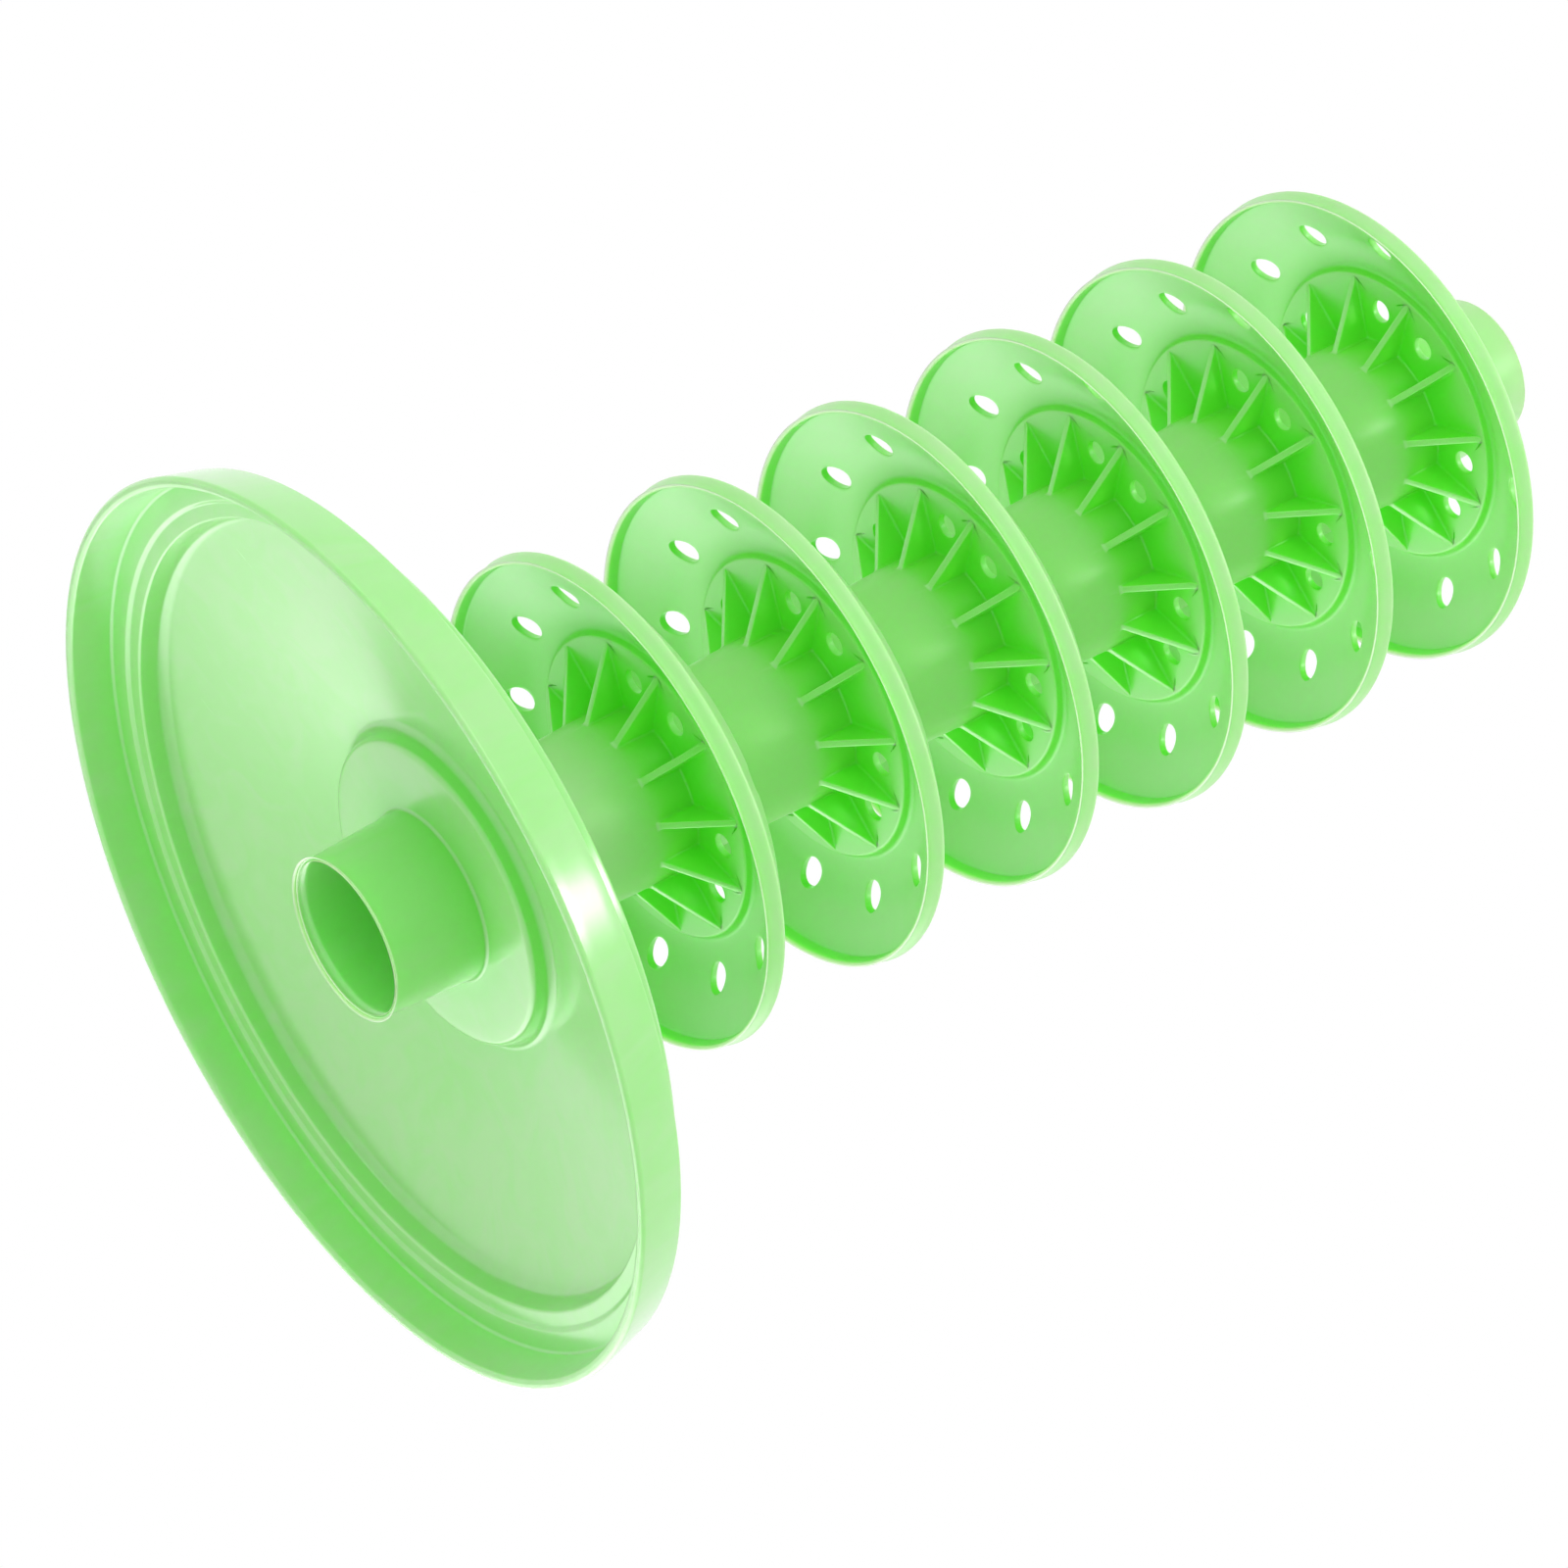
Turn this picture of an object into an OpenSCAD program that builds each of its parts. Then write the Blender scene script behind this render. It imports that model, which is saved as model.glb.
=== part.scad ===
// Tiered display stand for lollipops and other stick sweets.
// A dished base carries a stack of identical tiers on one hollow post.
// Each tier plugs on to the spigot of the piece below it and can be turned on it.
// The stand's axis is Z, and the rim of the base rests on z = 0.

/* [Stack] */
// Height of the lowest tier's rim above the table
first_rim_z = 71; // [67:0.5:90]
// Height from one tier's rim to the next
pitch = 44.5; // [44:0.5:60]
// Axial gap between a tier's tube and the seat that it stands on
seat_gap = 0.1; // [0.05:0.05:0.3]

/* [Tier] */
// Outer radius of a tier
tier_r = 60; // [59:0.5:64]
// Thickness of the lip around a tier
lip_t = 1.9; // [1.6:0.1:2.4]
// Depth of the lip inside, from its edge to the plate
lip_h = 3.4; // [3:0.1:4]
// Wall thickness of the plate
plate_t = 1.6; // [1.4:0.1:2]
// Slope of the plate where it meets the lip, in degrees
flare_angle = 33; // [32:0.5:36]
// Height of the plate's underside where it is level, above the lip's edge
dish_h = 13.2; // [12.5:0.1:13.6]
// Radius of the round boss under the middle of the plate
boss_r = 36.1; // [34:0.1:36.5]
// Height of the step between the boss and the plate
boss_step = 2; // [1.6:0.1:2.4]

/* [Gussets] */
// Thickness of a gusset
gusset_t = 1.6; // [1:0.1:2]
// Height of a gusset where it meets the tube
gusset_h = 10.2; // [8:0.1:11]

/* [Stick holes] */
// Radius of the stick holes near the lip
outer_hole_r = 3.25; // [2:0.05:3.5]
// Distance of those holes from the axis
outer_ring_r = 46.4; // [45:0.1:48]
// Radius of the stick holes between the gussets
inner_hole_r = 2.75; // [2:0.05:3]
// Distance of those holes from the axis
inner_ring_r = 29; // [28:0.1:30]

/* [Post] */
// Outer radius of the post
post_r = 20.2; // [20:0.1:21]
// Radius of the bore in the lower end of each piece
bore_r = 18.35; // [17.5:0.05:18.5]
// Radial clearance between a spigot and its bore
fit_gap = 0.05; // [0.02:0.01:0.1]
// Height of a spigot above its seat
spigot_h = 30; // [20:0.5:40]
// Height of the straight, fitting part of a spigot
spigot_fit_h = 14; // [8:0.5:16]
// Wall thickness of a spigot
spigot_t = 1.9; // [1.6:0.1:2.4]
// How much narrower a spigot's tip is, on the radius
spigot_taper = 0.9; // [0.2:0.1:1.1]

/* [Base] */
// Outer radius of the base at its rim
base_r = 108; // [104:0.5:120]
// Wall thickness of the base
base_t = 2; // [1.6:0.1:2.4]
// Thickness of the base's rolled lip
base_lip_t = 2.6; // [2.2:0.1:3]
// Height of the skirt
skirt_h = 12.2; // [10:0.1:13]
// How far the skirt leans in at its top
skirt_lean = 2.8; // [1:0.1:4]
// Width of the ledge inside the skirt
ledge_w = 10; // [6:0.1:11]
// Height from the ledge to the foot of the cone, on the underside
well_h = 6.6; // [5:0.1:8]
// Slope of the cone, in degrees
cone_angle = 13; // [8:0.5:14]
// Radius of the flat hub on the underside
hub_r = 36.5; // [34:0.1:40]
// How far the hub stands down from the cone
hub_step = 5; // [3:0.1:6]
// Height of the stub's lower end above the table
stub_z = 1.1; // [0.5:0.1:6]

/* [Hidden] */
$fn = 120;

gusset_count = 12;
sector = 360 / gusset_count;
// Sectors, counted from +X, that have an inner stick hole
inner_hole_sectors = [1, 2, 4, 5, 7, 8, 10, 11];
// Number of flats that stand for the curved part of the plate
dish_steps = 8;
edge = 0.5;
tip_edge = 0.8;
bite = 0.6;

// Plate of a tier
boss_z = dish_h - boss_step;
seat_z = boss_z + plate_t;
lip_in_r = tier_r - lip_t;
boss_wall_w = 0.9;
boss_recess_r = boss_r - 1;
level_r = boss_r + 1.9;
flare_run = lip_in_r - level_r;
flare_drop = dish_h - lip_h;
dish_bend_r = (flare_run * tan(flare_angle) - flare_drop) / (1 / cos(flare_angle) - 1);
rim_top_z = lip_h - lip_t * tan(flare_angle) + plate_t / cos(flare_angle);

// Post
spigot_r = bore_r - fit_gap;
spigot_in_r = spigot_r - spigot_t;
tube_end_z = seat_z - pitch + seat_gap;
bore_taper = bore_r - spigot_in_r;

// Base
base_seat_z = first_rim_z + tube_end_z - seat_gap;
skirt_top_r = base_r - skirt_lean;
ledge_z = skirt_h - base_t;
ledge_out_r = skirt_top_r - base_t + 0.8;
well_r = ledge_out_r - ledge_w;
well_lean = 0.8;
cone_foot_r = well_r - well_lean;
cone_foot_z = ledge_z + well_h;
cone_rise = tan(cone_angle);
hub_wall_w = 1.2;
hub_recess_r = hub_r - 1.6;
cone_top_z = cone_foot_z + (cone_foot_r - hub_r - hub_wall_w) * cone_rise;
hub_z = cone_top_z - hub_step;

// Points along one side of the curved plate, offset outwards by t, from the level part to the flare
function dish_curve(t) = [
    for (i = [0:dish_steps])
        let (a = flare_angle * i / dish_steps)
            [level_r + (dish_bend_r + t) * sin(a), dish_h - dish_bend_r + (dish_bend_r + t) * cos(a)]
];

function reversed(points) = [for (i = [len(points) - 1:-1:0]) points[i]];

// Outline of a spigot from its seat at height z up over its tip and down inside to the height floor_z
function spigot_outline(z, floor_z) = [
    [spigot_r, z],
    [spigot_r, z + spigot_fit_h],
    [spigot_r - spigot_taper + 0.2, z + spigot_h - tip_edge],
    [spigot_r - spigot_taper - 0.2, z + spigot_h],
    [spigot_in_r, z + spigot_h],
    [spigot_in_r, floor_z],
    [bore_r, floor_z - bore_taper]
];

// Half section of a tier: tube, boss, plate, lip and spigot in one wall
module tier_section() {
    polygon(concat(
        [[bore_r, tube_end_z], [post_r, tube_end_z], [post_r, boss_z]],
        [[boss_r, boss_z], [boss_r + boss_wall_w, dish_h]],
        dish_curve(0),
        [[lip_in_r, lip_h], [lip_in_r, edge], [lip_in_r + edge, 0]],
        [[tier_r - edge, 0], [tier_r, edge], [tier_r, rim_top_z]],
        reversed(dish_curve(plate_t)),
        [[boss_recess_r + boss_wall_w, dish_h + plate_t], [boss_recess_r, seat_z]],
        spigot_outline(seat_z, boss_z)
    ));
}

// Half section of the base: stub, hub, cone, ledge, skirt and the post above
module base_section() {
    polygon(concat(
        [[bore_r, stub_z], [post_r, stub_z], [post_r, hub_z], [hub_r, hub_z]],
        [[hub_r + hub_wall_w, cone_top_z], [cone_foot_r, cone_foot_z]],
        [[well_r, ledge_z + bite], [well_r + bite, ledge_z], [ledge_out_r, ledge_z]],
        [[base_r - base_lip_t, edge * 2], [base_r - base_lip_t + edge, 0]],
        [[base_r - edge, 0], [base_r, edge], [skirt_top_r, skirt_h - edge], [skirt_top_r - edge, skirt_h]],
        [[well_r + base_t, skirt_h], [cone_foot_r + base_t, cone_foot_z + base_t]],
        [[hub_recess_r + hub_wall_w, cone_top_z + base_t], [hub_recess_r, hub_z + base_t]],
        [[post_r, hub_z + base_t], [post_r, base_seat_z]],
        spigot_outline(base_seat_z, base_seat_z)
    ));
}

// Triangular web between the tube and the underside of the boss
module gusset() {
    rotate([90, 0, 0])
        linear_extrude(gusset_t, center = true)
            polygon([
                [post_r - bite, boss_z + bite],
                [boss_r, boss_z + bite],
                [boss_r, boss_z],
                [post_r, boss_z - gusset_h],
                [post_r - bite, boss_z - gusset_h]
            ]);
}

module stick_hole(radius, distance, sector_index) {
    rotate([0, 0, sector * (sector_index + 0.5)])
        translate([distance, 0, 0])
            cylinder(h = seat_z + plate_t * 2, r = radius);
}

module tier(level) {
    translate([0, 0, first_rim_z + pitch * (level - 1)])
        difference() {
            union() {
                rotate_extrude() tier_section();
                for (i = [0:gusset_count - 1])
                    rotate([0, 0, sector * i]) gusset();
            }
            for (i = [0:gusset_count - 1])
                stick_hole(outer_hole_r, outer_ring_r, i);
            for (i = inner_hole_sectors)
                stick_hole(inner_hole_r, inner_ring_r, i);
        }
}

module base() {
    color("lightgreen") rotate_extrude() base_section();
}

module tier_1() {
    color("limegreen") tier(1);
}

module tier_2() {
    color("limegreen") tier(2);
}

module tier_3() {
    color("limegreen") tier(3);
}

module tier_4() {
    color("limegreen") tier(4);
}

module tier_5() {
    color("limegreen") tier(5);
}

module tier_6() {
    color("limegreen") tier(6);
}

base();
tier_1();
tier_2();
tier_3();
tier_4();
tier_5();
tier_6();
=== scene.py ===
"""Looks of a tiered lollipop display stand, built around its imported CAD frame.

Lengths in upper-case names and in outlines are in millimetres, and a mesh is in metres.
"""

import math
from functools import partial

import bmesh
import bpy
import numpy as np
from mathutils import Matrix, Vector


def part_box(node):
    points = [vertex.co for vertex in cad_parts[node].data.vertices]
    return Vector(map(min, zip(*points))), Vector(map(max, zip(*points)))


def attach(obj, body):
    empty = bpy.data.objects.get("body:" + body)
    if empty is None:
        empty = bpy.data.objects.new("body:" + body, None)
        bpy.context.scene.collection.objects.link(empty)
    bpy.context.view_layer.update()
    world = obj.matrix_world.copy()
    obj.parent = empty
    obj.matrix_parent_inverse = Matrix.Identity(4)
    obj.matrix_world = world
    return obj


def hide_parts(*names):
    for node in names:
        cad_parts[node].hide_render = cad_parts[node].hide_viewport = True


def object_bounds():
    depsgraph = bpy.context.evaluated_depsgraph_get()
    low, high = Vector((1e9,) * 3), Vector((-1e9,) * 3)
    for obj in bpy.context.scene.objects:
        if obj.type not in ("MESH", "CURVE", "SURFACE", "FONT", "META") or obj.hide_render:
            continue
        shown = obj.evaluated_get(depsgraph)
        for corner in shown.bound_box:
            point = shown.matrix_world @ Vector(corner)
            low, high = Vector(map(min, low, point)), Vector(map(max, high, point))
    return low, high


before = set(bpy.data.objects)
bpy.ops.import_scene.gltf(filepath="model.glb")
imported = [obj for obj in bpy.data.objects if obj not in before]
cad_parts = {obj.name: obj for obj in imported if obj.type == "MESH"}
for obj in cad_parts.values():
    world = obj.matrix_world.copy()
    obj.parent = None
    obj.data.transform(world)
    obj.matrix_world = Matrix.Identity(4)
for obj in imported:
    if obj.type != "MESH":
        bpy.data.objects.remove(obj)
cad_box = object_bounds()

MM = 0.001
TIERS = [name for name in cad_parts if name.startswith("tier_")]

# Tier, measured from the plane of its lip's lower edge. Its plate's underside is level at DISH_H as far out
# as LEVEL_R, then bends down to the slope FLARE at the lip.
TIER_R = 60.0
LIP_T = 1.9
LIP_H = 3.4
PLATE_T = 1.6
FLARE = math.radians(33)
DISH_H = 13.2
BOSS_R = 36.1
BOSS_STEP = 2.0
BOSS_Z = DISH_H - BOSS_STEP
SEAT_Z = BOSS_Z + PLATE_T
LEVEL_R = BOSS_R + 1.9
BOSS_RECESS_R = BOSS_R - 1.0
SECTORS = 12
SECTOR = 2 * math.pi / SECTORS
INNER_HOLE_SECTORS = (1, 2, 4, 5, 7, 8, 10, 11)
OUTER_HOLE = (46.4, 3.25)
INNER_HOLE = (29.0, 2.75)
# Inner and outer radius of the bands that hold the outer holes and, on top, the inner holes
OUTER_BAND = (38.8, 54.2)
SEAT_BAND = (21.4, 34.0)

# Post and spigots
POST_R = 20.2
BORE_R = 18.35
SPIGOT_R = 18.3
SPIGOT_IN_R = 16.4
SPIGOT_FIT_H = 14.0
SPIGOT_H = 30.0
SPIGOT_TAPER = 0.9

# Gussets: half thickness at the plate and at the free edge, height at the tube, radius of the root
# fillet, and height of the free edge's rounding
GUSSET_HALF_T = 0.88
GUSSET_EDGE_HALF_T = 0.82
GUSSET_H = 10.2
GUSSET_ROOT = 0.6
GUSSET_EDGE = 0.3
# Length over which a gusset's tip rounds off, and how squarely its free edge is rounded
GUSSET_TIP = 1.6
GUSSET_EDGE_ROUNDING = 0.4

# Mesh density: columns across a sector, rows beside the holes, over the tube's root fillet and around a
# gusset's section, and how strongly rows crowd towards the gusset's tip
COLUMNS = 16
OUTER_ROWS = 10
INNER_ROWS = 18
ROOT_ROWS = 5
SECTION_ARC = 4
SECTION_WALL = 5
TIP_CROWDING = 1.25
# Rounding of a hole's edge, its arc's steps, and the rings from a hole's mouth, as shares of the way out
HOLE_EDGE = 0.28
HOLE_EDGE_ARC = 4
HOLE_RINGS = (0.0, 0.1, 0.26, 0.46, 0.72, 1.0)


def rounded(corners, step=math.radians(12)):
    """An outline's points from (r, z, fillet radius) corners, with an arc at each fillet."""
    out = []
    for i, (r, z, fillet) in enumerate(corners):
        here = np.array((r, z))
        if fillet == 0 or i in (0, len(corners) - 1):
            out.append(here)
            continue
        back = np.array(corners[i - 1][:2]) - here
        ahead = np.array(corners[i + 1][:2]) - here
        back = back / np.linalg.norm(back)
        ahead = ahead / np.linalg.norm(ahead)
        half = math.acos(np.clip(back @ ahead, -1, 1)) / 2
        reach = fillet / math.tan(half)
        middle = back + ahead
        centre = here + middle / np.linalg.norm(middle) * fillet / math.sin(half)
        start = here + back * reach - centre
        turn = math.pi - 2 * half
        sign = 1.0 if start[0] * ahead[1] - start[1] * ahead[0] > 0 else -1.0
        steps = max(2, math.ceil(turn / step))
        for k in range(steps + 1):
            a = sign * turn * k / steps
            c, s = math.cos(a), math.sin(a)
            spoke = np.array((c * start[0] - s * start[1], s * start[0] + c * start[1]))
            out.append(centre + spoke)
    return out


def refine(outline, longest):
    """The outline with its long straight stretches cut into shorter ones."""
    out = [outline[0]]
    for a, b in zip(outline, outline[1:]):
        pieces = max(1, math.ceil(np.linalg.norm(b - a) / longest))
        out += [a + (b - a) * k / pieces for k in range(1, pieces + 1)]
    return out


class Shell:
    """Collects patches of quads and welds them into one mesh."""

    def __init__(self):
        self.points = []
        self.faces = []
        self.count = 0

    def patch(self, grid):
        """A patch from an array of rows x columns x 3."""
        rows, columns = grid.shape[:2]
        index = np.arange(rows * columns).reshape(rows, columns) + self.count
        quads = np.stack([index[:-1, :-1], index[:-1, 1:], index[1:, 1:], index[1:, :-1]], -1)
        self.faces.append(quads.reshape(-1, 4))
        self.points.append(grid.reshape(-1, 3))
        self.count += rows * columns

    def lathe(self, outline, columns):
        """A full turn of an outline of (r, z) points."""
        outline = np.array(outline)
        angle = np.linspace(0, 2 * math.pi, columns + 1)
        self.patch(polar(outline[:, 0, None], angle, outline[:, 1, None]))

    def build(self, name):
        """The welded mesh, in metres, smooth, with its faces turned outwards."""
        mesh = bpy.data.meshes.new(name)
        bm = bmesh.new()
        verts = [bm.verts.new(Vector(p) * MM) for p in np.concatenate(self.points)]
        for face in np.concatenate(self.faces):
            bm.faces.new([verts[i] for i in face])
        bmesh.ops.remove_doubles(bm, verts=bm.verts, dist=2e-6)
        bmesh.ops.dissolve_degenerate(bm, edges=bm.edges, dist=1e-7)
        bmesh.ops.recalc_face_normals(bm, faces=bm.faces)
        for face in bm.faces:
            face.smooth = True
        bm.to_mesh(mesh)
        bm.free()
        return mesh


# The tier's plate: height of its underside and of its top at each radius
FLARE_IN_R = TIER_R - LIP_T
BEND_R = ((FLARE_IN_R - LEVEL_R) * math.tan(FLARE) - (DISH_H - LIP_H)) / (1 / math.cos(FLARE) - 1)


def dish_height(r, wall):
    """Height of the plate outside the boss, wall above its underside."""
    radius = BEND_R + wall
    bend_end = LEVEL_R + radius * math.sin(FLARE)
    run = np.clip(r - LEVEL_R, 0, radius * math.sin(FLARE))
    bent = DISH_H - BEND_R + np.sqrt(radius**2 - run**2)
    return bent - np.clip(r - bend_end, 0, None) * math.tan(FLARE)


def under_height(r):
    """Height of the underside between the tube's root and the boss's edge."""
    run = np.clip(POST_R + GUSSET_ROOT - r, 0, GUSSET_ROOT)
    return BOSS_Z - GUSSET_ROOT + np.sqrt(GUSSET_ROOT**2 - run**2)


def polar(r, angle, z):
    """Points at the radii, angles and heights given, as an array with x, y and z in its last axis."""
    r, angle, z = np.broadcast_arrays(r, angle, z)
    return np.stack([r * np.cos(angle), r * np.sin(angle), z], -1)


def turned(grid, angle):
    """The grid turned about the stand's axis."""
    c, s = math.cos(angle), math.sin(angle)
    return grid @ np.array([[c, s, 0], [-s, c, 0], [0, 0, 1]])


def mirrored(grid):
    """The grid on the other side of the sector's middle line."""
    return turned(turned(grid, -SECTOR / 2) * np.array([1, -1, 1]), SECTOR / 2)


def hole_circle(radius, distance, columns, rows):
    """Plan points around a hole, in the order of its cell's rim, from the inner corner on the low side."""
    corner = math.pi / 2 * columns / (columns + rows)
    inner = math.pi + corner - 2 * corner * np.arange(columns) / columns
    high = math.pi - corner - (math.pi - 2 * corner) * np.arange(rows) / rows
    around = np.concatenate([inner, high, inner - math.pi, high - math.pi])
    local = np.stack([distance + radius * np.cos(around), radius * np.sin(around), 0 * around], -1)
    return turned(local, SECTOR / 2)


def cell_rim(inner, high, outer, low):
    """The rim of a cell, whose inner and outer sides run from low to high, and the others outwards."""
    return np.concatenate([inner[:-1], high[:-1], outer[::-1][:-1], low[::-1][:-1]])


def closed(loop):
    """The loop with its first point repeated at its end."""
    return np.concatenate([loop, loop[:1]])


def holed_cell(rim, hole, columns, rows, height, side):
    """Rings of points from the rim of a cell to the wall of its hole.

    side is 1 on a top face and -1 on an underside.
    """
    distance, radius = hole
    mouth = hole_circle(radius + HOLE_EDGE, distance, columns, rows)
    rings = [closed(mouth + (rim - mouth) * share) for share in HOLE_RINGS[::-1]]
    for ring in rings:
        ring[:, 2] = height(np.hypot(ring[:, 0], ring[:, 1]))
    edge = rings[-1][:, 2]
    for k in range(1, HOLE_EDGE_ARC + 1):
        a = math.pi / 2 * k / HOLE_EDGE_ARC
        ring = closed(hole_circle(radius + HOLE_EDGE * (1 - math.sin(a)), distance, columns, rows))
        ring[:, 2] = edge - side * HOLE_EDGE * (1 - math.cos(a))
        rings.append(ring)
    return np.stack(rings)


def seat_height(r):
    """Height of the seat around the spigot, which is level."""
    return np.full_like(r, SEAT_Z)


def arc(start, end, r):
    """Plan points at the radius r from the angle of one point to the angle of another."""
    first = math.atan2(start[1], start[0])
    last = math.atan2(end[1], end[0])
    return polar(r, np.linspace(first, last, COLUMNS + 1), 0)


def plain_cell(inner, high, outer, low, height):
    """A cell without a hole, filled between its four sides."""
    u = np.linspace(0, 1, len(inner))[None, :, None]
    v = np.linspace(0, 1, len(low))[:, None, None]
    across = low[:, None] * (1 - u) + high[:, None] * u
    along = inner[None] * (1 - v) + outer[None] * v
    corners = (inner[0] * (1 - u) + inner[-1] * u) * (1 - v) + (outer[0] * (1 - u) + outer[-1] * u) * v
    grid = across + along - corners
    grid[..., 2] = height(np.hypot(grid[..., 0], grid[..., 1]))
    return grid


def gusset_stations():
    """Radii along a gusset, from the tube's wall through its root fillet to the tip at the boss's edge."""
    root = POST_R + GUSSET_ROOT * (1 - np.cos(np.linspace(0, math.pi / 2, ROOT_ROWS)))
    share = np.linspace(0, 1, INNER_ROWS + 1)[1:]
    return np.concatenate([root, root[-1] + (BOSS_R - root[-1]) * (1 - (1 - share) ** TIP_CROWDING)])


def gusset_side():
    """One side of the gusset on +X: at each station a row from the plate to the free edge's middle."""
    rows = []
    for r in gusset_stations():
        run = max(0.0, POST_R + GUSSET_ROOT - r)
        flare = GUSSET_ROOT - math.sqrt(max(0.0, GUSSET_ROOT**2 - run**2))
        into_tip = max(0.0, (r - BOSS_R + GUSSET_TIP) / GUSSET_TIP)
        narrow = math.sqrt(max(0.0, 1 - into_tip**2))
        top = float(under_height(np.array(r)))
        free = BOSS_Z - GUSSET_H * (BOSS_R - r) / (BOSS_R - POST_R) - flare
        height = max(0.0, top - free)
        root = min(GUSSET_ROOT, height * 0.5)
        edge = min(GUSSET_EDGE, height * 0.3)
        section = []
        for k in range(SECTION_ARC + 1):
            a = math.pi / 2 * k / SECTION_ARC
            half_t = GUSSET_HALF_T + GUSSET_ROOT * (1 - math.sin(a))
            section.append((half_t, top - root * (1 - math.cos(a))))
        for k in range(1, SECTION_WALL):
            share = k / SECTION_WALL
            half_t = GUSSET_HALF_T + (GUSSET_EDGE_HALF_T - GUSSET_HALF_T) * share
            section.append((half_t, top - root + (free + edge - top + root) * share))
        for k in range(SECTION_ARC + 1):
            a = math.pi / 2 * k / SECTION_ARC
            half_t = GUSSET_EDGE_HALF_T * math.cos(a) ** GUSSET_EDGE_ROUNDING
            section.append((half_t, free + edge * (1 - math.sin(a))))
        section = np.array(section)
        y = section[:, 0] * narrow * (1 + flare / GUSSET_HALF_T)
        rows.append(np.stack([np.sqrt(r * r - y * y), y, section[:, 1]], -1))
    return np.stack(rows)


def dish_corner(r, wall, fillet=0):
    """An outline's corner on the plate, wall above its underside."""
    return (r, float(dish_height(np.array(r), wall)), fillet)


def spigot_corners(seat, floor_z):
    """An outline's corners from a spigot's seat over its tip and down inside to its flared foot."""
    tip = seat + SPIGOT_H
    return [
        (SPIGOT_R, seat, 0.08),
        (SPIGOT_R, seat + SPIGOT_FIT_H, 6),
        (SPIGOT_R - SPIGOT_TAPER, tip, 0.6),
        (SPIGOT_IN_R, tip, 0.3),
        (SPIGOT_IN_R, floor_z, 1),
        (BORE_R, floor_z - BORE_R + SPIGOT_IN_R, 1),
    ]


def tier_mesh():
    """One tier: a dished plate with stick holes, gussets under it, the tube below and the spigot above."""
    shell = Shell()
    tube_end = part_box(TIERS[0])[0].z / MM - rim_z(TIERS[0])
    across = np.linspace(0, SECTOR, COLUMNS + 1)
    turn = SECTORS * COLUMNS

    cell_in, cell_out = OUTER_BAND
    outer_side = np.linspace(cell_in, cell_out, OUTER_ROWS + 1)
    outer_walls = []
    for wall, side in ((0.0, -1), (PLATE_T, 1)):
        rim = cell_rim(
            polar(cell_in, across, 0),
            polar(outer_side, SECTOR, 0),
            polar(cell_out, across, 0),
            polar(outer_side, 0, 0),
        )
        height = partial(dish_height, wall=wall)
        outer_walls.append(holed_cell(rim, OUTER_HOLE, COLUMNS, OUTER_ROWS, height, side))

    seat_in, seat_out = SEAT_BAND
    gusset = gusset_side()
    low = gusset[ROOT_ROWS - 1 :, 0]
    high = mirrored(low)
    root_r = POST_R + GUSSET_ROOT

    inner_arc = arc(low[0], high[0], root_r)
    outer_arc = polar(BOSS_R, across, 0)
    seat_side = np.linspace(seat_in, seat_out, INNER_ROWS + 1)
    seat = (
        polar(seat_in, across, 0),
        polar(seat_side, SECTOR, 0),
        polar(seat_out, across, 0),
        polar(seat_side, 0, 0),
    )
    under_bay = (inner_arc, high, outer_arc, low)
    root_band = []
    for row in gusset[:ROOT_ROWS, 0]:
        ring = arc(row, mirrored(row), np.hypot(row[0], row[1]))
        ring[:, 2] = row[2]
        root_band.append(ring)
    tube_bay = []
    for point in gusset[0]:
        ring = arc(point, mirrored(point), POST_R)
        ring[:, 2] = point[2]
        tube_bay.append(ring)

    for sector in range(SECTORS):
        angle = sector * SECTOR
        for grid in outer_walls:
            shell.patch(turned(grid, angle))
        shell.patch(turned(np.stack([outer_walls[0][-1], outer_walls[1][-1]]), angle))
        if sector in INNER_HOLE_SECTORS:
            walls = [
                holed_cell(cell_rim(*under_bay), INNER_HOLE, COLUMNS, INNER_ROWS, under_height, -1),
                holed_cell(cell_rim(*seat), INNER_HOLE, COLUMNS, INNER_ROWS, seat_height, 1),
            ]
            walls.append(np.stack([walls[0][-1], walls[1][-1]]))
        else:
            walls = [plain_cell(*under_bay, under_height), plain_cell(*seat, seat_height)]
        for grid in walls + [gusset, mirrored(gusset), np.stack(root_band), np.stack(tube_bay)]:
            shell.patch(turned(grid, angle))

    boss_edge = [
        (BOSS_R, BOSS_Z, 0),
        (BOSS_R + 0.55, BOSS_Z, 0.8),
        (BOSS_R + 1.4, DISH_H, 1.2),
        dish_corner(cell_in, 0),
    ]
    lip = [
        dish_corner(cell_out, 0),
        dish_corner(FLARE_IN_R, 0, 0.7),
        (FLARE_IN_R + 0.12, 0, 0.75),
        (TIER_R, 0, 0.75),
        (TIER_R - 0.1, dish_corner(TIER_R, PLATE_T)[1], 0.9),
        dish_corner(cell_out, PLATE_T),
    ]
    recess_edge = [
        dish_corner(cell_in, PLATE_T),
        (BOSS_R - 0.1, DISH_H + PLATE_T, 0.9),
        (BOSS_RECESS_R, SEAT_Z, 0.9),
        (seat_out, SEAT_Z, 0),
    ]
    post = [
        (seat_in, SEAT_Z, 0),
        *spigot_corners(SEAT_Z, BOSS_Z),
        (BORE_R, tube_end, 0.4),
        (POST_R, tube_end, 0.5),
        (POST_R, gusset[0, -1, 2], 0),
    ]
    shell.lathe(rounded(boss_edge), turn)
    shell.lathe(refine(rounded(lip), longest=1.2), turn)
    shell.lathe(rounded(recess_edge), turn)
    shell.lathe(refine(rounded(post), longest=4), turn)
    return shell.build("tier")


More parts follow.
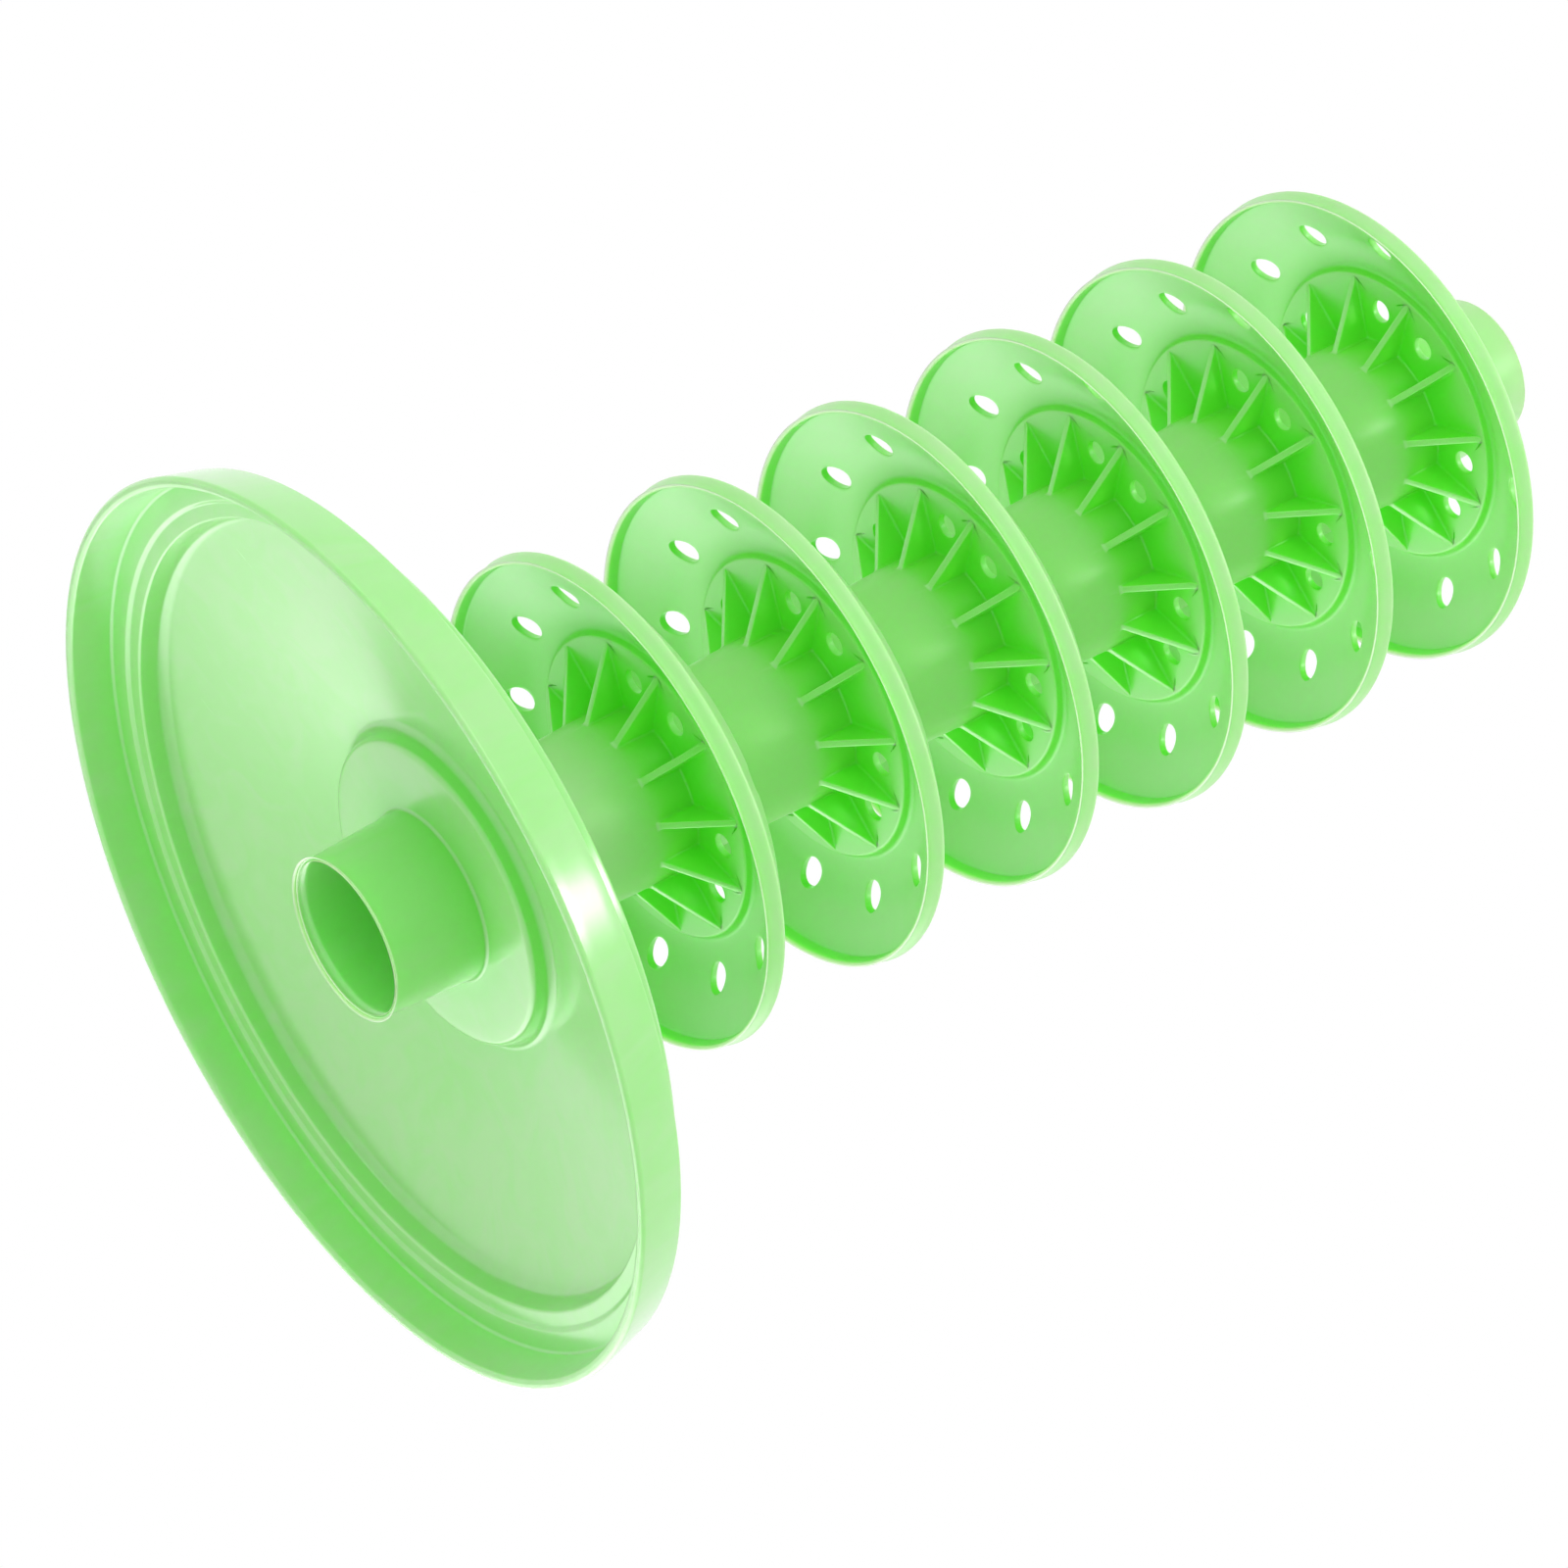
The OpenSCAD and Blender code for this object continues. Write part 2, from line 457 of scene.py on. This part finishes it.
def rim_z(name):
    """Height of a tier's lip above the table: its spigot's tip less what stands above the lip."""
    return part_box(name)[1].z / MM - SPIGOT_H - SEAT_Z


# Base
BASE_R = 108.0
BASE_T = 2.0
BASE_LIP_T = 2.6
SKIRT_H = 12.2
SKIRT_LEAN = 2.8
SKIRT_TOP_R = BASE_R - SKIRT_LEAN
LEDGE_W = 10.0
LEDGE_Z = SKIRT_H - BASE_T
LEDGE_OUT_R = SKIRT_TOP_R - BASE_T + 0.8
# The ledge's raised inner band: its height, its width and the width of its slope
BAND_H = 0.7
BAND_W = 3.7
BAND_SLOPE_W = 0.9
WELL_R = LEDGE_OUT_R - LEDGE_W
WELL_H = 6.6
CONE_FOOT_R = WELL_R - 0.8
CONE_FOOT_Z = LEDGE_Z + WELL_H
CONE_RISE = math.tan(math.radians(13))
HUB_R = 36.5
HUB_STEP = 5.0
HUB_WALL_W = 1.2
HUB_TOP_R = HUB_R + HUB_WALL_W
CONE_TOP_Z = CONE_FOOT_Z + (CONE_FOOT_R - HUB_TOP_R) * CONE_RISE
HUB_Z = CONE_TOP_Z - HUB_STEP
HUB_RECESS_R = HUB_R - 1.6
STUB_Z = 1.1
# Height below the seat at which the outline starts and ends, inside the bore
BORE_START = 8.0
BASE_COLUMNS = 288


def base_mesh():
    """The base: stub, hub, shallow cone, well, ledge and skirt with a rolled lip, and the spigot above."""
    shell = Shell()
    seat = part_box("base")[1].z / MM - SPIGOT_H
    outline = [
        (BORE_R, seat - BORE_START, 0),
        (BORE_R, STUB_Z, 0.45),
        (POST_R, STUB_Z, 0.6),
        (POST_R, HUB_Z, 0.9),
        (HUB_R, HUB_Z, 1.6),
        (HUB_TOP_R, CONE_TOP_Z, 2.2),
        (CONE_FOOT_R, CONE_FOOT_Z, 3.0),
        (WELL_R, LEDGE_Z + BAND_H, 0.7),
        (WELL_R + BAND_W, LEDGE_Z + BAND_H, 0.9),
        (WELL_R + BAND_W + BAND_SLOPE_W, LEDGE_Z, 0.9),
        (LEDGE_OUT_R, LEDGE_Z, 0.9),
        (BASE_R - BASE_LIP_T, 0.4, 0.7),
        (BASE_R - 1.6, 0, 0.6),
        (BASE_R - 0.6, 0, 0.5),
        (BASE_R, 0.7, 0.8),
        (SKIRT_TOP_R, SKIRT_H, 0.45),
        (WELL_R + BASE_T, SKIRT_H, 0.5),
        (CONE_FOOT_R + BASE_T, CONE_FOOT_Z + BASE_T, 1.2),
        (HUB_RECESS_R + HUB_WALL_W, CONE_TOP_Z + BASE_T, 1.0),
        (HUB_RECESS_R, HUB_Z + BASE_T, 0.8),
        (POST_R, HUB_Z + BASE_T, 0.8),
        (POST_R, seat, 0.3),
        *spigot_corners(seat, seat),
        (BORE_R, seat - BORE_START, 0),
    ]
    shell.lathe(refine(rounded(outline), longest=3), BASE_COLUMNS)
    return shell.build("base")


# Materials. The plastic's colour holds painted shade and a painted sheen: deep green where walls stand
# around it, pale in the open

# How far off a wall the painted shade still darkens a hollow, and how much the flow marks shift the tone
# and streak it
PAINTED_SHADE_REACH = 30.0
FLOW_MARKS = 0.1
STREAK = 0.22
PLASTIC_IOR = 1.6
COAT_WEIGHT = 0.6
COAT_ROUGHNESS = 0.3
# Reach of red, green and blue light in the plastic, as shares of its depth
SCATTER = (0.7, 1.2, 0.6)
SCATTER_DEPTH = 1.6


def node(tree, kind, inputs=(), **settings):
    """A shader node with its inputs set or linked and its settings made."""
    made = tree.nodes.new(kind)
    for key, value in settings.items():
        setattr(made, key, value)
    for key, value in dict(inputs).items():
        if isinstance(value, bpy.types.NodeSocket):
            tree.links.new(value, made.inputs[key])
        else:
            made.inputs[key].default_value = value
    return made


def shade_sheen_and_flow_tint(tree, marks, pale, deep, hollow_at, open_at):
    """Painted shade, deep where walls stand close around, and a painted pale sheen in the open, a little
    streaked by the flow marks.
    """
    # Painted shade: ambient occlusion sets how far the colour goes from the pale painted sheen towards deep
    # green
    occlusion_shade = node(tree, "ShaderNodeAmbientOcclusion", {"Distance": PAINTED_SHADE_REACH * MM}, samples=8)
    light = node(
        tree,
        "ShaderNodeMath",
        {0: marks, 1: FLOW_MARKS, 2: occlusion_shade.outputs["AO"]},
        operation="MULTIPLY_ADD",
    )
    painted_light_level = node(
        tree,
        "ShaderNodeMapRange",
        {
            "Value": light.outputs[0],
            "From Min": hollow_at + FLOW_MARKS,
            "From Max": open_at + FLOW_MARKS,
        },
    )
    streak = node(
        tree,
        "ShaderNodeMapRange",
        {"Value": marks, "From Min": 0.8, "From Max": 1.2, "To Min": 0.0, "To Max": STREAK},
    )
    open_tint = node(
        tree,
        "ShaderNodeMix",
        {"Factor": streak.outputs[0], "A": pale, "B": deep},
        data_type="RGBA",
    )
    tint = node(
        tree,
        "ShaderNodeMix",
        {"Factor": painted_light_level.outputs[0], "A": deep, "B": open_tint.outputs["Result"]},
        data_type="RGBA",
    )
    return tint.outputs["Result"]


def scuffed_roughness(tree, place, cloud, roughness):
    """Roughness that drifts over the surface, with faint scratches."""
    stretch = node(
        tree,
        "ShaderNodeMapping",
        {"Vector": place, "Rotation": (0.3, 0.2, 0.7), "Scale": (30.0, 900.0, 300.0)},
    )
    scratch = node(
        tree,
        "ShaderNodeTexNoise",
        {"Vector": stretch.outputs[0], "Scale": 1.0, "Detail": 4.0},
    )
    scuff = node(
        tree,
        "ShaderNodeMapRange",
        {
            "Value": scratch.outputs["Fac"],
            "From Min": 0.55,
            "From Max": 0.8,
            "To Min": 0.0,
            "To Max": 0.12,
        },
    )
    patchy = node(
        tree,
        "ShaderNodeMapRange",
        {
            "Value": cloud,
            "From Min": 0.3,
            "From Max": 0.7,
            "To Min": roughness - 0.03,
            "To Max": roughness + 0.04,
        },
    )
    rough = node(
        tree,
        "ShaderNodeMath",
        {0: scuff.outputs[0], 1: patchy.outputs[0]},
        operation="ADD",
    )
    return rough.outputs[0]


def moulded_skin(tree, place, wave):
    """Shallow sink marks, wave mm deep, under a fine skin texture."""
    sink = node(tree, "ShaderNodeTexNoise", {"Vector": place, "Scale": 45.0, "Detail": 1.0})
    wavy = node(tree, "ShaderNodeBump", {"Height": sink.outputs["Fac"], "Distance": wave * MM})
    grain = node(tree, "ShaderNodeTexNoise", {"Vector": place, "Scale": 900.0, "Detail": 2.0})
    skin = node(
        tree,
        "ShaderNodeBump",
        {
            "Height": grain.outputs["Fac"],
            "Strength": 0.25,
            "Distance": 0.02 * MM,
            "Normal": wavy.outputs[0],
        },
    )
    return skin.outputs[0]


def plastic(name, pale, deep, hollow_at, open_at, roughness, wave):
    """Moulded plastic, a little translucent, under a clear gloss, with painted shade and a painted sheen in
    its base colour.
    """
    material = bpy.data.materials.new(name)
    material.use_nodes = True
    tree = material.node_tree
    tree.nodes.clear()
    place = node(tree, "ShaderNodeTexCoord").outputs["Object"]

    cloud = node(tree, "ShaderNodeTexNoise", {"Vector": place, "Scale": 22.0, "Detail": 3.0})
    stretch = node(tree, "ShaderNodeMapping", {"Vector": place, "Scale": (1.0, 1.0, 0.25)})
    flow = node(
        tree,
        "ShaderNodeTexNoise",
        {"Vector": stretch.outputs[0], "Scale": 70.0, "Detail": 2.0, "Distortion": 1.5},
    )
    marks = node(
        tree,
        "ShaderNodeMath",
        {0: cloud.outputs["Fac"], 1: flow.outputs["Fac"]},
        operation="ADD",
    )
    shader = node(
        tree,
        "ShaderNodeBsdfPrincipled",
        {
            "Base Color": shade_sheen_and_flow_tint(tree, marks.outputs[0], pale, deep, hollow_at, open_at),
            "Roughness": scuffed_roughness(tree, place, cloud.outputs["Fac"], roughness),
            "Normal": moulded_skin(tree, place, wave),
            "IOR": PLASTIC_IOR,
            "Coat Weight": COAT_WEIGHT,
            "Coat Roughness": COAT_ROUGHNESS,
            "Subsurface Weight": 1.0,
            "Subsurface Radius": SCATTER,
            "Subsurface Scale": SCATTER_DEPTH * MM,
        },
    )
    node(tree, "ShaderNodeOutputMaterial", {"Surface": shader.outputs[0]})
    return material


# pale is the painted sheen of open places, deep the painted shade of hollows
tier_plastic = plastic(
    "tier_plastic",
    pale=(0.46, 0.78, 0.35, 1),
    deep=(0.20, 0.87, 0.055, 1),
    hollow_at=0.56,
    open_at=0.97,
    roughness=0.45,
    wave=0.03,
)
# pale is the painted sheen of open places, deep the painted shade of hollows
base_plastic = plastic(
    "base_plastic",
    pale=(0.41, 0.79, 0.31, 1),
    deep=(0.15, 0.87, 0.03, 1),
    hollow_at=0.38,
    open_at=0.82,
    roughness=0.14,
    wave=0.05,
)


# Pieces

def piece(name, mesh, body, material, z=0.0):
    """A visible piece that rides on a body and stands for its CAD node."""
    made = bpy.data.objects.new(name, mesh)
    bpy.context.scene.collection.objects.link(made)
    made.location.z = z * MM
    if not mesh.materials:
        mesh.materials.append(material)
    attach(made, body)
    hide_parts(body)


piece("base_moulding", base_mesh(), "base", base_plastic)
shared_tier = tier_mesh()
for tier in TIERS:
    piece(f"{tier}_moulding", shared_tier, tier, tier_plastic, rim_z(tier))


# Stage: a floor that shows from above only, so that the stand can be seen from underneath

FLOOR_HALF = 3000.0


def floor():
    """A plain pale floor under the stand, which the camera sees but no other ray meets."""
    mesh = bpy.data.meshes.new("floor")
    around = ((-1, -1), (1, -1), (1, 1), (-1, 1))
    corners = [(x * FLOOR_HALF * MM, y * FLOOR_HALF * MM, 0) for x, y in around]
    mesh.from_pydata(corners, [], [(0, 1, 2, 3)])
    made = bpy.data.objects.new("floor", mesh)
    bpy.context.scene.collection.objects.link(made)
    material = bpy.data.materials.new("floor")
    material.use_nodes = True
    tree = material.node_tree
    tree.nodes.clear()
    facing = node(tree, "ShaderNodeNewGeometry")
    paint = node(tree, "ShaderNodeBsdfDiffuse", {"Color": (0.83, 0.83, 0.82, 1)})
    clear = node(tree, "ShaderNodeBsdfTransparent")
    mix = node(
        tree,
        "ShaderNodeMixShader",
        {0: facing.outputs["Backfacing"], 1: paint.outputs[0], 2: clear.outputs[0]},
    )
    node(tree, "ShaderNodeOutputMaterial", {"Surface": mix.outputs[0]})
    mesh.materials.append(material)
    for ray in ("diffuse", "glossy", "transmission", "volume_scatter", "shadow"):
        setattr(made, f"visible_{ray}", False)


floor()


# Camera. FOOT is the middle of the stand's foot, in mm, in axes to the right, down and ahead of the camera.
# TILT is the angle between the stand's axis and the line of sight, ROLL its turn in the picture from level,
# and GUSSET_TURN the stand's own turn about its axis.

FOOT = Vector((-95.77, 34.04, 1227.39))
TILT = math.radians(61.98)
ROLL = math.radians(-27.2)
GUSSET_TURN = math.radians(-3)
LENS = 130.76
SENSOR = 36.0

axis = Vector((math.sin(TILT) * math.cos(ROLL), math.sin(TILT) * math.sin(ROLL), math.cos(TILT)))
side = axis.cross(Vector((0, 0, 1))).normalized()
front = axis.cross(side)
object_x = side * math.cos(GUSSET_TURN) + front * math.sin(GUSSET_TURN)
object_y = axis.cross(object_x)
camera_data = bpy.data.cameras.new("camera")
camera_data.lens = LENS
camera_data.sensor_width = SENSOR
camera = bpy.data.objects.new("camera", camera_data)
bpy.context.scene.collection.objects.link(camera)
to_object = Matrix((object_x, object_y, axis))
flip = Matrix(((1, 0, 0), (0, -1, 0), (0, 0, -1)))
camera.matrix_world = Matrix.Translation(to_object @ -FOOT * MM) @ (to_object @ flip).to_4x4()
bpy.context.scene.camera = camera


# Light: softboxes placed from the stand's middle, in metres to the right, up and back towards the camera,
# and a white room, whose strength differs as seen by the camera, as light and in reflections

middle = (cad_box[0] + cad_box[1]) / 2
ROOM_SEEN = 1.0
ROOM_LIGHT = 0.76
ROOM_GLOSS = 1.08


def softbox(name, place, size, power):
    """A soft light that faces the stand's middle and fades towards its edges, with its size in metres."""
    data = bpy.data.lights.new(name, "AREA")
    data.shape = "RECTANGLE"
    data.size, data.size_y = size
    data.energy = power
    data.use_nodes = True
    tree = data.node_tree
    tree.nodes.clear()
    across = node(tree, "ShaderNodeNewGeometry").outputs["Parametric"]
    centred = node(
        tree,
        "ShaderNodeVectorMath",
        {0: across, 1: (0.5, 0.5, 0.0)},
        operation="SUBTRACT",
    )
    reach = node(tree, "ShaderNodeVectorMath", {0: centred.outputs[0]}, operation="LENGTH")
    fade = node(
        tree,
        "ShaderNodeMapRange",
        {"Value": reach.outputs["Value"], "From Min": 0.5, "From Max": 0.1},
        interpolation_type="SMOOTHERSTEP",
    )
    glow = node(tree, "ShaderNodeEmission", {"Strength": fade.outputs[0]})
    node(tree, "ShaderNodeOutputLight", {"Surface": glow.outputs[0]})
    made = bpy.data.objects.new(name, data)
    bpy.context.scene.collection.objects.link(made)
    away = camera.matrix_world.to_3x3() @ Vector(place)
    made.location = middle + away
    made.rotation_mode = "QUATERNION"
    made.rotation_quaternion = (-away).to_track_quat("-Z", "Y")


softbox("key", (-0.35, 1.0, 0.6), (1.1, 1.1), 3.5)
softbox("front", (0.25, 0.55, 1.0), (1.1, 1.1), 6)
softbox("side", (1.0, 0.18, 0.42), (0.4, 0.5), 9)
softbox("sweep", (-0.4, -0.9, -0.5), (1.9, 1.9), 23)

world = bpy.data.worlds.new("studio")
bpy.context.scene.world = world
world.use_nodes = True
studio = world.node_tree
studio.nodes.clear()
ray = node(studio, "ShaderNodeLightPath")
gloss = node(
    studio,
    "ShaderNodeMapRange",
    {"Value": ray.outputs["Is Glossy Ray"], "To Min": ROOM_LIGHT, "To Max": ROOM_GLOSS},
)
strength = node(
    studio,
    "ShaderNodeMix",
    {"Factor": ray.outputs["Is Camera Ray"], "A": gloss.outputs[0], "B": ROOM_SEEN},
    data_type="FLOAT",
)
room = node(
    studio,
    "ShaderNodeBackground",
    {"Color": (1, 1, 1, 1), "Strength": strength.outputs[0]},
)
node(studio, "ShaderNodeOutputWorld", {"Surface": room.outputs[0]})
bpy.context.scene.view_settings.view_transform = "Standard"
